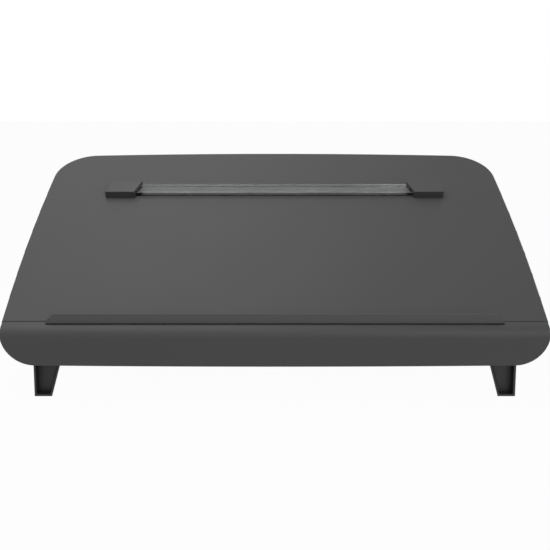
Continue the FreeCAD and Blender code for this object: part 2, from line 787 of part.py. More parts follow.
def make_rivets():
    """Rivets that hold the cover to the housing's flanges."""
    rivets = []
    grip = size("housing_wall") + size("housing_wall")
    for x, y in RIVET_PLACES:
        shank = primitive("Cylinder", Radius=size("rivet_radius"), Height=grip)
        head = primitive("Cylinder", Radius=size("rivet_head_radius"), Height=size("rivet_head"))
        place(head, ZERO, ZERO, grip)
        tail = primitive("Cylinder", Radius=size("rivet_tail_radius"), Height=size("rivet_tail"))
        place(tail, ZERO, ZERO, -size("rivet_tail"))
        rivet = join("MultiFuse", "rivet", shank, head, tail)
        place(rivet, x, y, HOUSING_TOP - size("housing_wall"))
        rivets.append(rivet)
    return in_seam_frame(group("cover_rivets", rivets))


def make_leg_screws():
    """Screws through the housing's side walls into the legs' bosses, their heads inside the housing."""
    screws = []
    for side in (1, -1):
        for y, z in SCREW_PLACES["front"] + SCREW_PLACES["rear"]:
            shank = primitive("Cylinder", Radius=size("screw_radius"),
                              Height=size("housing_wall") + size("screw_reach") - size("screw_end_gap"))
            head = primitive("Cylinder", Radius=size("screw_head_radius"), Height=size("screw_head"))
            place(head, ZERO, ZERO, -size("screw_head"))
            screw = join("MultiFuse", "leg_screw", shank, head)
            place(screw, side * HOUSING_INNER, y, z, Vector(0, side, 0), QUARTER_TURN)
            screws.append(screw)
    return in_seam_frame(group("leg_screws", screws))


def make_runner():
    """The right runner: a channel that opens towards the drawer, with a stop lug at its front and three pegs
    staked through the housing's wall."""
    body = new_body("right_runner")
    front = size("runner_set")
    length = RUNNER_LENGTH
    arm = size("runner_arm")
    back = HOUSING_INNER - size("runner_back")
    profile = [(HOUSING_INNER, RUNNER_Z), (HOUSING_INNER, RUNNER_TOP), (RUNNER_FACE, RUNNER_TOP),
               (RUNNER_FACE, RUNNER_TOP - arm), (back, RUNNER_TOP - arm), (back, RUNNER_Z + arm),
               (RUNNER_FACE, RUNNER_Z + arm), (RUNNER_FACE, RUNNER_Z)]
    pad(draw(new_sketch(body, "XZ", -front), profile), length, back=True)
    lug = draw_box(new_sketch(body, "XZ", -front), RUNNER_FACE, HOUSING_INNER,
                   FLANGE_TOP + size("runner_slide_gap"), RUNNER_TOP)
    pad(lug, size("runner_lug"), back=True)
    for start, radius, reach in ((back, size("peg_radius"), LEG_INNER - back),
                                 (LEG_INNER, size("peg_head_radius"), size("peg_head"))):
        pad(draw_circles(new_sketch(body, "YZ", start), radius, PEG_PLACES), reach)
    return in_seam_frame(body)


def make_tray():
    """The drawer tray: a pen well across the front and two wells behind it, hung by side flanges whose raised
    rear ribs meet the runners' lugs when the drawer is fully out."""
    body = new_body("drawer_tray")
    wall = size("tray_wall")
    front = -size("tray_set")
    outline = draw_box(new_sketch(body, "XY", TRAY_Z), -TRAY_HALF, TRAY_HALF, front, TRAY_REAR)
    block = pad(outline, size("tray_height"))
    corners = [name for x in (TRAY_HALF, -TRAY_HALF) for name in edges_at(block, x=x, y=TRAY_REAR)]
    fillet(block, corners, size("tray_corner_radius"))
    inner = TRAY_HALF - wall
    well_rear = front + wall + size("pen_well")
    rear_front = well_rear + size("divider_wall")
    middle = size("divider_wall") / 2
    wells = [(-inner, inner, front + wall, well_rear), (-inner, -middle, rear_front, TRAY_REAR - wall),
             (middle, inner, rear_front, TRAY_REAR - wall)]
    depth = size("tray_height") - size("tray_floor")
    for well in wells:
        pocket(draw_box(new_sketch(body, "XY", TRAY_TOP), *well), depth)
    inner_corners = [name for x in (inner, -inner) for name in edges_at(body.Tip, x=x, y=TRAY_REAR - wall)]
    hollow = fillet(body.Tip, inner_corners, size("tray_corner_radius") - wall)
    floor_edges = edges_at(hollow, z=TRAY_Z + size("tray_floor"))
    fillet(hollow, floor_edges, size("tray_floor_radius"))
    low_dividers = draw_box(new_sketch(body, "XY", TRAY_TOP), -inner, inner, front + wall, TRAY_REAR - wall)
    pocket(low_dividers, size("divider_drop"))
    reach = TRAY_HALF + size("tray_flange")
    rib_front = size("runner_set") + size("runner_lug") + DRAWER_TRAVEL
    rib_top = RUNNER_TOP - size("runner_arm") - size("tray_rib_gap")
    rib_rear = TRAY_REAR - size("tray_corner_radius")
    for side in (1, -1):
        flange_ends = sorted_pair(side * inner, side * reach)
        flange = draw_box(new_sketch(body, "XY", FLANGE_Z), *flange_ends, size("runner_set"), rib_rear)
        pad(flange, size("tray_flange_wall"))
        rib_ends = sorted_pair(side * TRAY_HALF, side * reach)
        rib = draw_box(new_sketch(body, "XY", FLANGE_TOP), *rib_ends, rib_front, rib_rear)
        pad(rib, rib_top - FLANGE_TOP)
    holes = draw_circles(new_sketch(body, "XZ", -front), size("front_screw_radius") + size("thread_gap"),
                         FRONT_SCREW_PLACES)
    pocket(holes, wall)
    return in_seam_frame(body)


def face_y(z):
    """How far forward the drawer front's outer face lies at a level."""
    return FACE_BOTTOM_Y - (z - FACE_BOTTOM_Z) * UNDERCUT_SIN / UNDERCUT_COS


def make_front_form(label, inset):
    """The drawer front as one solid, or its hollow: the rolled profile, trimmed to a front outline with
    round lower corners, all of it inside an inset."""
    body = new_body(label)
    radius = size("front_roll_radius") - inset
    back = FRONT_BACK_Y + OVERRUN
    foot = FACE_BOTTOM_Z - OVERRUN
    roll_y = FRONT_TOP * SLOPE_COS + inset * SLOPE_SIN
    roll_z = FRONT_TOP * SLOPE_SIN - inset * SLOPE_COS
    profile = [(back, back * RISE - inset / SLOPE_COS), (roll_y, roll_z, radius),
               (FRONT_ROLL_Y - radius * UNDERCUT_COS, FRONT_ROLL_Z - radius * UNDERCUT_SIN),
               (face_y(foot) + inset / UNDERCUT_COS, foot), (back, foot)]
    width = FRONT_HALF * 2
    pad(draw(new_sketch(body, "YZ"), profile), width, middle=True)
    half = FRONT_HALF - inset
    corner = size("front_corner_radius") - inset
    level = half - corner
    bow = size("front_bottom_bow")
    low = FACE_BOTTOM_Z + bow + inset
    over = back * RISE + OVERRUN
    outline = [(half, over), (-half, over), (-half, low + corner, corner),
               (-level, low, (level * level / bow + bow) / 2), (level, low, corner), (half, low + corner)]
    trim = draw(new_sketch(body, "XZ"), outline)
    reach = half + OVERRUN
    draw_box(trim, -reach, reach, foot - OVERRUN, over + OVERRUN)
    pocket(trim, width, middle=True)
    return body


def front_edges(feature):
    """The edges where the drawer front's rolled profile meets its sides and bottom."""
    def runs_back(face):
        u_low, u_high, v_low, v_high = face.ParameterRange
        return abs(face.normalAt((u_low + u_high) / 2, (v_low + v_high) / 2).y) < MATCH

    rear = edges_at(feature, y=FRONT_BACK_Y)
    names = []
    for number, edge in enumerate(feature.Shape.Edges, start=1):
        sides = {runs_back(face) for face in feature.Shape.ancestorsOfType(edge, Part.Face)}
        if len(sides) > 1 and f"Edge{number}" not in rear:
            names.append(f"Edge{number}")
    return names


def make_drawer_front():
    """The drawer front: a rolled shell, open behind and notched for the page ledge, with screw bosses."""
    body = make_front_form("drawer_front", ZERO)
    above = FACE_TOP_Z + OVERRUN + OVERRUN
    behind = draw_box(new_sketch(body, "YZ"), FRONT_BACK_Y, FRONT_BACK_Y + OVERRUN + OVERRUN,
                      FACE_BOTTOM_Z - OVERRUN - OVERRUN, above)
    block = pocket(behind, FRONT_HALF * 2, middle=True)
    fillet(block, front_edges(block), size("front_edge_radius"))
    hollow = body.newObject("PartDesign::Boolean", "drawer_front_hollow")
    hollow.Type = "Cut"
    hollow.setObjects([make_front_form("front_hollow", size("front_wall"))])
    doc.recompute()
    notch = LEDGE_HALF + size("ledge_end_gap")
    lip = -(size("ledge_gap") + size("ledge_wall") + size("ledge_front_gap"))
    pocket(draw_box(new_sketch(body, "XY", OVERRUN), -notch, notch, lip, OVERRUN), OVERRUN - TRAY_TOP)
    screw_z = FRONT_SCREW_PLACES[0][1]
    boss_length = -size("tray_set") - face_y(screw_z) - size("front_wall") / 2
    bosses = new_sketch(body, "XZ", size("tray_set"))
    pad(draw_circles(bosses, size("front_boss_radius"), FRONT_SCREW_PLACES), boss_length)
    bores = new_sketch(body, "XZ", size("tray_set"))
    pocket(draw_circles(bores, size("front_screw_radius") + size("thread_gap"), FRONT_SCREW_PLACES),
           size("front_screw_reach") - size("tray_wall") + size("thread_gap"), back=True)
    return in_seam_frame(body)


def make_front_screws():
    """Screws from the pen well through the tray's front wall into the drawer front's bosses."""
    screws = []
    for x, z in FRONT_SCREW_PLACES:
        shank = primitive("Cylinder", Radius=size("front_screw_radius"), Height=size("front_screw_reach"))
        head = primitive("Cylinder", Radius=size("front_screw_head_radius"), Height=size("front_screw_head"))
        place(head, ZERO, ZERO, -size("front_screw_head"))
        screw = join("MultiFuse", "front_screw", shank, head)
        place(screw, x, size("tray_wall") - size("tray_set"), z, X_AXIS, QUARTER_TURN)
        screws.append(screw)
    return in_seam_frame(group("drawer_front_screws", screws))


# The line guide, in the deck frame
GUIDE_HALF = size("deck_width") / 2 - size("guide_side_set")
CAP_FRONT = size("guide_rest")
CAP_REAR = CAP_FRONT + size("cap_depth")
BAR_END = GUIDE_HALF - size("bar_seat")
BAR_FRONT = CAP_FRONT + size("bar_set")
BAR_REAR = BAR_FRONT + size("bar_depth")
BAR_TOP = size("bar_lift") + size("bar_thickness")
BEAD_TOP = BAR_TOP + size("bar_bead_height")
BEAD_FRONT = BAR_REAR - size("bar_bead_width")
PAD_LOW = size("cap_lift") - size("pad_proud")
PAD_TOP = PAD_LOW + size("pad_thickness")
MAGNET_X = GUIDE_HALF - size("magnet_from_end")
MAGNET_UP = CAP_FRONT + size("cap_depth") / 2


def make_guide_bar():
    """The clear bar: a flat strip with a raised bead along its rear edge."""
    body = new_body("guide_bar")
    profile = [(BAR_FRONT, size("bar_lift")), (BAR_REAR, size("bar_lift")), (BAR_REAR, BEAD_TOP),
               (BEAD_FRONT, BEAD_TOP), (BEAD_FRONT, BAR_TOP), (BAR_FRONT, BAR_TOP)]
    strip = pad(draw(new_sketch(body, "YZ"), profile), BAR_END * 2, middle=True)
    fillet(strip, edges_at(strip, y=BAR_FRONT, z=BAR_TOP), size("bar_edge_radius"))
    return in_deck_frame(body)


def pad_outline(margin):
    """The glide pad's outline under the right cap, grown by a margin."""
    inset = size("pad_margin") - margin
    start = GUIDE_HALF - size("pad_margin") - size("pad_length") - margin
    front = CAP_FRONT + inset
    rear = CAP_REAR - inset

    def outer(y):
        return GUIDE_HALF - size("cap_outer_skew") * (y - CAP_FRONT) / size("cap_depth") - inset

    return [(start, front), (outer(front), front), (outer(rear), rear), (start, rear)]


def make_cap():
    """The right end cap: a block with slanted sides and a round rear corner, a slot for the bar and pockets
    under it for the glide pad and the magnet."""
    body = new_body("right_guide_cap")
    inner = GUIDE_HALF - size("cap_front_width")
    outer = GUIDE_HALF - size("cap_outer_skew")
    outline = [(inner, CAP_FRONT), (GUIDE_HALF, CAP_FRONT), (outer, CAP_REAR),
               (inner - size("cap_skew"), CAP_REAR)]
    lift = size("cap_lift")
    block = pad(draw(new_sketch(body, "XY", lift), outline), size("cap_height") - lift)
    rounded = fillet(block, edges_at(block, x=outer, y=CAP_REAR), size("cap_rear_radius"))
    fillet(rounded, edges_at(rounded, z=size("cap_height")), size("cap_edge_radius"))
    gap = size("bar_gap")
    slot = [(BAR_FRONT - gap, -OVERRUN), (BAR_REAR + gap, -OVERRUN), (BAR_REAR + gap, BEAD_TOP + gap),
            (BEAD_FRONT - gap, BEAD_TOP + gap), (BEAD_FRONT - gap, BAR_TOP + gap),
            (BAR_FRONT - gap, BAR_TOP + gap)]
    pocket(draw(new_sketch(body, "YZ", BAR_END + gap), slot), size("cap_front_width") + size("cap_skew"))
    pocket(draw(new_sketch(body, "XY", lift), pad_outline(gap)), PAD_TOP - lift, back=True)
    magnet_room = new_sketch(body, "XY", PAD_TOP)
    draw_circles(magnet_room, size("magnet_radius") + gap, [(MAGNET_X, MAGNET_UP)])
    pocket(magnet_room, size("magnet_thickness") + gap, back=True)
    return in_deck_frame(body)


def make_pad():
    body = new_body("right_glide_pad")
    pad(draw(new_sketch(body, "XY", PAD_LOW), pad_outline(ZERO)), size("pad_thickness"))
    return in_deck_frame(body)


def make_magnet():
    body = new_body("right_magnet")
    disc = draw_circles(new_sketch(body, "XY", PAD_TOP), size("magnet_radius"), [(MAGNET_X, MAGNET_UP)])
    pad(disc, size("magnet_thickness"))
    return in_deck_frame(body)


def make_pieces():
    """Every sub-part of the holder, each under the label that names its file."""
    pieces = [make_deck(), make_ledge(), make_ledge_nuts(), make_housing(), make_cover(), make_rivets(),
              make_leg_screws(), make_leg_nuts(), make_tray(), make_drawer_front(), make_front_screws(),
              make_guide_bar()]
    pairs = [make_runner(), make_cap(), make_pad(), make_magnet()]
    for name, offset in LEG_SETS.items():
        pairs += [make_leg(name, offset), make_foot(name, offset)]
    for right in pairs:
        pieces += [right, mirrored(right, right.Label.replace("right", "left"))]
    doc.recompute()
    return pieces


def check(pieces):
    """Stop if anything in the document failed, or a sub-part has no sound shape."""
    for item in doc.Objects:
        if any(fault in item.State for fault in FAULTS):
            raise RuntimeError(f"{item.Label} is {item.State}")
    for piece in pieces:
        if piece.Shape.isNull() or not piece.Shape.isValid():
            raise RuntimeError(f"{piece.Label} has no sound shape")


def write(pieces):
    os.makedirs("parts", exist_ok=True)
    for piece in pieces:
        piece.Shape.exportStep(f"parts/{piece.Label}.step")
        print(f"{piece.Label}: {len(piece.Shape.Solids)} solid(s), {piece.Shape.Volume:.1f} mm3")


PIECES = make_pieces()
check(PIECES)
write(PIECES)
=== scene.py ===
"""The looks of the document holder: its finishes, its fasteners, feet and line guide, and the studio."""
import json
import logging
import math
from contextlib import contextmanager
from dataclasses import dataclass
from enum import Enum
from typing import Callable, Iterable, Iterator

import bmesh
import bpy
from mathutils import Matrix, Vector


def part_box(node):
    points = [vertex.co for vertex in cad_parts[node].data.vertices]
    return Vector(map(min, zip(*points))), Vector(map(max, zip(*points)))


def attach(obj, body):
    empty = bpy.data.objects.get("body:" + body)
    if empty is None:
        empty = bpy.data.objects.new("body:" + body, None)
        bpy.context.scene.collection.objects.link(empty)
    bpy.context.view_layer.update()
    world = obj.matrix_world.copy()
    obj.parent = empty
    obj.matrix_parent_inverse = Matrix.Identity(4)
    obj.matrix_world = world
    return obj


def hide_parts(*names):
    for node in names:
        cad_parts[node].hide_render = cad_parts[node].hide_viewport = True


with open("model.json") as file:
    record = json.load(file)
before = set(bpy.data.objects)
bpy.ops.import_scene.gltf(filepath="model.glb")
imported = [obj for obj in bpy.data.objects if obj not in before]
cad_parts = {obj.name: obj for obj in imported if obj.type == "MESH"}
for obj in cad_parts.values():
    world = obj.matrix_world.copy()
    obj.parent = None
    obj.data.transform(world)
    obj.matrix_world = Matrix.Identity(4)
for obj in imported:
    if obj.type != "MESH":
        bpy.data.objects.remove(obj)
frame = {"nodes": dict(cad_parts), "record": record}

logging.basicConfig(level=logging.INFO, format="%(levelname)s %(message)s")
LOG = logging.getLogger("document_holder")
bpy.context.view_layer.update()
MM = 0.001
MATCH = 1e-6
PATTERN_LOW, PATTERN_HIGH = 0.3, 0.7
ROUGHNESS_SPREAD = 0.04
DECK_SEAM = Vector((0, -120.657, 76)) * MM
DECK = Matrix.Translation(DECK_SEAM) @ Matrix.Rotation(math.radians(30), 4, "X")


class Side(Enum):
    """The two sides of the holder, as the sign of their X."""

    RIGHT = 1
    LEFT = -1

    @property
    def word(self) -> str:
        """The side's name as it stands in a node's name."""
        return self.name.lower()


class Row(Enum):
    """The two rows of legs."""

    FRONT = "front"
    REAR = "rear"

    @property
    def word(self) -> str:
        """The row's name as it stands in a node's name."""
        return self.value


def tone(red: float, green: float, blue: float) -> tuple[float, float, float, float]:
    """Turn a colour seen on a screen into the linear colour that a shader takes.

    Args:
        red: The red of the colour, 0 to 255.
        green: The green of the colour, 0 to 255.
        blue: The blue of the colour, 0 to 255.

    Returns:
        The linear red, green, blue and an alpha of 1.
    """
    shares = (value / 255 for value in (red, green, blue))
    linear = [share / 12.92 if share <= 0.04045 else ((share + 0.055) / 1.055) ** 2.4 for share in shares]
    return (*linear, 1.0)


class ShaderTree:
    """The node tree of one material, with a method for each kind of pattern the finishes use."""

    def __init__(self, name: str) -> None:
        """Make the material and its principled shader."""
        self.material = bpy.data.materials.new(name)
        self.material.use_nodes = True
        self.nodes = self.material.node_tree.nodes
        self.links = self.material.node_tree.links
        self.shader = self.nodes["Principled BSDF"]
        coordinates = self.nodes.new("ShaderNodeTexCoord")
        self.place = coordinates.outputs["Object"]
        self.normal = coordinates.outputs["Normal"]

    def link(self, start: bpy.types.NodeSocket, end: bpy.types.NodeSocket) -> None:
        """Join two sockets."""
        self.links.new(start, end)

    def stretched(self, stretch: tuple[float, float, float]) -> bpy.types.NodeSocket:
        """Give the piece's own coordinates, stretched.

        Args:
            stretch: How much finer the pattern runs along X, Y and Z.

        Returns:
            The socket of the stretched coordinates.
        """
        mapping = self.nodes.new("ShaderNodeMapping")
        mapping.inputs["Scale"].default_value = stretch
        self.link(self.place, mapping.inputs["Vector"])
        return mapping.outputs["Vector"]

    def noise(self, grain: float, detail: float = 2.0, stretch: tuple[float, float, float] = (1, 1, 1)
              ) -> bpy.types.NodeSocket:
        """Add a cloudy pattern.

        Args:
            grain: The size of its clouds, in metres.
            detail: How many finer layers it has.
            stretch: How much finer it runs along X, Y and Z.

        Returns:
            The socket of the pattern, about 0.5 on average.
        """
        node = self.nodes.new("ShaderNodeTexNoise")
        node.inputs["Scale"].default_value = 1 / grain
        node.inputs["Detail"].default_value = detail
        self.link(self.stretched(stretch), node.inputs["Vector"])
        return node.outputs["Fac"]

    def spread(self, value: bpy.types.NodeSocket, low: float, high: float) -> bpy.types.NodeSocket:
        """Spread a pattern between two values.

        Args:
            value: The pattern.
            low: What its darker parts become.
            high: What its lighter parts become.

        Returns:
            The socket of the spread pattern.
        """
        node = self.nodes.new("ShaderNodeMapRange")
        node.inputs["From Min"].default_value = PATTERN_LOW
        node.inputs["From Max"].default_value = PATTERN_HIGH
        node.inputs["To Min"].default_value = low
        node.inputs["To Max"].default_value = high
        self.link(value, node.inputs["Value"])
        return node.outputs["Result"]

    def blend(self, share: bpy.types.NodeSocket, first: tuple[float, ...], second: tuple[float, ...]
              ) -> bpy.types.NodeSocket:
        """Blend two colours by a pattern.

        Args:
            share: The pattern, 0 for the first colour and 1 for the second.
            first: The first colour.
            second: The second colour.

        Returns:
            The socket of the blended colour.
        """
        node = self.nodes.new("ShaderNodeMix")
        node.data_type = "RGBA"
        node.inputs["A"].default_value = first
        node.inputs["B"].default_value = second
        self.link(share, node.inputs["Factor"])
        return node.outputs["Result"]

    def facing(self, way: tuple[float, float, float]) -> bpy.types.NodeSocket:
        """Tell how far the surface faces one way.

        Args:
            way: The way, as a vector of length 1 in the piece's own coordinates.

        Returns:
            The socket that is 1 on a face that looks that way and 0 on the others.
        """
        node = self.nodes.new("ShaderNodeVectorMath")
        node.operation = "DOT_PRODUCT"
        node.inputs[1].default_value = way
        self.link(self.normal, node.inputs[0])
        return self.spread(node.outputs["Value"], 0.0, 1.0)

    def raise_surface(self, height: bpy.types.NodeSocket, depth: float) -> bpy.types.NodeSocket:
        """Raise the surface by a pattern.

        Args:
            height: The pattern.
            depth: How high its lightest parts stand, in metres.

        Returns:
            The socket of the surface's normal.
        """
        node = self.nodes.new("ShaderNodeBump")
        node.inputs["Distance"].default_value = depth
        self.link(height, node.inputs["Height"])
        return node.outputs["Normal"]


@dataclass(frozen=True)
class Finish:
    """A finish of one of the record's material slots: a colour with a grain and soft clouds of wear."""

    slot: str
    color: tuple[float, float, float]
    roughness: float
    grain: float = 0.5 * MM
    grain_depth: float = 0.01 * MM
    clouds: float = 60 * MM
    clouding: float = 0.05
    gloss: float = 0.5
    metallic: float = 0.0
    stretch: tuple[float, float, float] = (1, 1, 1)

    def shades(self) -> tuple[tuple[float, ...], tuple[float, ...]]:
        """Give the darker and the lighter shade of the colour."""
        base = tone(*self.color)
        return tuple(tuple(value * share for value in base[:3]) + (1.0,)
                     for share in (1 - self.clouding, 1 + self.clouding))

    def build(self) -> bpy.types.Material:
        """Make the material.

        Returns:
            The finished material.
        """
        tree = ShaderTree(self.slot)
        clouds = tree.noise(self.clouds, 3)
        grain = tree.noise(self.grain, 2, self.stretch)
        dark, light = self.shades()
        speckled = tree.nodes.new("ShaderNodeMath")
        speckled.operation = "MULTIPLY_ADD"
        tree.link(tree.spread(grain, -0.25, 0.25), speckled.inputs[0])
        speckled.inputs[1].default_value = 1.0
        tree.link(tree.spread(clouds, 0.25, 0.75), speckled.inputs[2])
        tree.link(tree.blend(speckled.outputs["Value"], dark, light), tree.shader.inputs["Base Color"])
        roughness = tree.spread(clouds, self.roughness - ROUGHNESS_SPREAD, self.roughness + ROUGHNESS_SPREAD)
        tree.link(roughness, tree.shader.inputs["Roughness"])
        tree.link(tree.raise_surface(grain, self.grain_depth), tree.shader.inputs["Normal"])
        tree.shader.inputs["Metallic"].default_value = self.metallic
        tree.shader.inputs["Specular IOR Level"].default_value = self.gloss
        self.finish_shader(tree)
        return tree.material

    def finish_shader(self, tree: ShaderTree) -> None:
        """Set what only this kind of finish has."""


@dataclass(frozen=True)
class ClearFinish(Finish):
    """A clear plastic, polished on its faces, its face that looks down the deck tinted dark as painted shade.
    """

    bend: float = 1.49
    # painted shade: the dark tint and the way of the face it darkens, the face that looks down the deck
    painted_shade_color: tuple[float, float, float] = (72, 72, 72)
    painted_shade_way: tuple[float, float, float] = (0, -0.866, -0.5)

    def finish_shader(self, tree: ShaderTree) -> None:
        """Let light through, with painted shade: a dark tint on the face that looks down the deck."""
        tree.shader.inputs["Transmission Weight"].default_value = 1.0
        tree.shader.inputs["IOR"].default_value = self.bend
        color = tree.shader.inputs["Base Color"].links[0].from_socket
        # painted shade: blend the dark tint onto the faces that look down the deck
        painted_shade_tint = tree.nodes.new("ShaderNodeMix")
        painted_shade_tint.data_type = "RGBA"
        painted_shade_tint.inputs["B"].default_value = tone(*self.painted_shade_color)
        tree.link(tree.facing(self.painted_shade_way), painted_shade_tint.inputs["Factor"])
        tree.link(color, painted_shade_tint.inputs["A"])
        tree.link(painted_shade_tint.outputs["Result"], tree.shader.inputs["Base Color"])


@dataclass(frozen=True)
class PileFinish(Finish):
    """A short pile that catches light at its edges."""

    sheen: float = 0.4

    def finish_shader(self, tree: ShaderTree) -> None:
        """Add the pile's soft edge light."""
        tree.shader.inputs["Sheen Weight"].default_value = self.sheen


FINISHES = (
    Finish("deck_paint", (97, 96, 97), 0.5, grain=0.45 * MM, grain_depth=0.008 * MM,
           clouding=0.02, gloss=0.15),
    Finish("ledge_paint", (92, 91, 92), 0.5, grain=0.45 * MM, grain_depth=0.008 * MM,
           clouding=0.02, gloss=0.35),
    Finish("housing_paint", (52, 52, 53), 0.55, grain=0.6 * MM, grain_depth=0.01 * MM, clouding=0.05),
    Finish("front_plastic", (80, 79, 81), 0.5, grain=0.5 * MM, grain_depth=0.01 * MM,
           clouding=0.02, gloss=0.35),
    Finish("tray_plastic", (48, 48, 49), 0.5, grain=0.7 * MM, grain_depth=0.02 * MM, clouding=0.06),
    Finish("runner_plastic", (196, 194, 186), 0.45, grain=1.2 * MM, grain_depth=0.01 * MM, clouding=0.03),
    Finish("leg_plastic", (34, 34, 35), 0.5, grain=0.6 * MM, grain_depth=0.015 * MM, clouding=0.05),
    Finish("foot_rubber", (38, 38, 38), 0.75, grain=0.4 * MM, grain_depth=0.03 * MM, clouding=0.1, gloss=0.3),
    # the bar's face that looks down the deck gets a painted shade tint
    ClearFinish("clear_acrylic", (230, 233, 233), 0.05, grain=8 * MM, grain_depth=0.0, clouding=0.01),
    Finish("cap_plastic", (66, 66, 67), 0.5, grain=0.5 * MM, grain_depth=0.01 * MM, clouding=0.03),
    PileFinish("pad_fabric", (40, 40, 42), 0.9, grain=0.3 * MM, grain_depth=0.1 * MM, clouding=0.2,
               gloss=0.1),
    Finish("magnet_nickel", (190, 187, 180), 0.28, grain=0.5 * MM, grain_depth=0.002 * MM, metallic=1.0),
    Finish("fastener_steel", (176, 178, 180), 0.35, grain=0.3 * MM, grain_depth=0.006 * MM, metallic=1.0,
           clouds=4 * MM, clouding=0.12, stretch=(1, 1, 6)),
)


class Paintshop:
    """Keeps one material for each slot and puts it on pieces."""

    def __init__(self, finishes: Iterable[Finish]) -> None:
        """Build each finish once."""
        self.materials = {finish.slot: finish.build() for finish in finishes}

    def fit(self, piece: bpy.types.Object, body: str, slot: str, *nodes: str) -> None:
        """Put a slot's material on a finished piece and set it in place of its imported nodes.

        Args:
            piece: The finished piece.
            body: The body that it rides on.
            slot: The material slot of its finish.
            nodes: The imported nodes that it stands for.
        """
        piece.data.materials.clear()
        piece.data.materials.append(self.materials[slot])
        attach(piece, body)
        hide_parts(*nodes)
        LOG.info("%s for %s: %d faces, %s", piece.name, ", ".join(nodes), len(piece.data.polygons), slot)

    def dress_frame(self) -> None:
        """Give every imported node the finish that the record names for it."""
        slots = {row["node"]: row["material_slot"] for row in frame["record"]["subparts"]}
        for node, piece in frame["nodes"].items():
            for index in range(len(piece.material_slots)):
                piece.material_slots[index].material = self.materials[slots[node]]
            LOG.info("%s: %s", node, slots[node])


